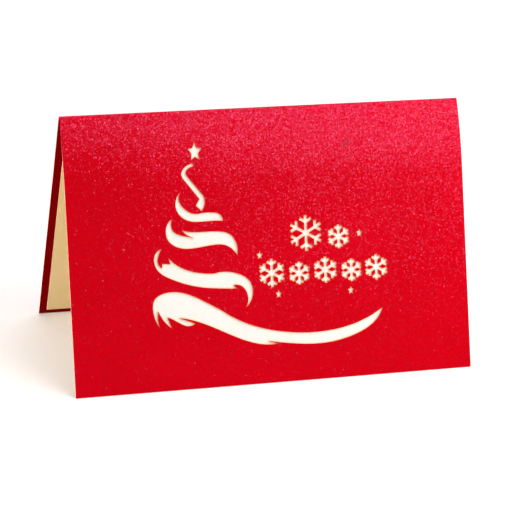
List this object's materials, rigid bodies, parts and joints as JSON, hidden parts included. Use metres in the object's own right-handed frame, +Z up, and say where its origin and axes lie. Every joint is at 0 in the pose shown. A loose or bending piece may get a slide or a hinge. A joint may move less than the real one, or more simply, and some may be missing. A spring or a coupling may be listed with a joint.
{
  "type": "pop-up card",
  "caption": "Folded landscape card standing as a tent, its front laser-cut with a ribbon tree and snowflakes over a cream liner, with a slotted pop-up tree between the panels.",
  "frame": {"origin": "centre of the card's footprint, on the surface that its two bottom edges stand on", "axes": "+X along the crease, to the right as seen from the front; +Y from the front panel to the back panel; +Z up"},
  "size_m": [0.15, 0.075, 0.0935],
  "materials": {
    "red_card": "pearl card with fine glitter",
    "cream_card": "smooth uncoated card",
    "tree_card": "smooth uncoated card"
  },
  "bodies": {
    "root": {"cover": "red_card", "liner": "cream_card", "tree_slice_a_back": "tree_card", "tree_slice_a_middle": "tree_card", "tree_slice_a_front": "tree_card", "tree_slice_b_back": "tree_card", "tree_slice_b_middle": "tree_card", "tree_slice_b_front": "tree_card"}
  },
  "joints": []
}
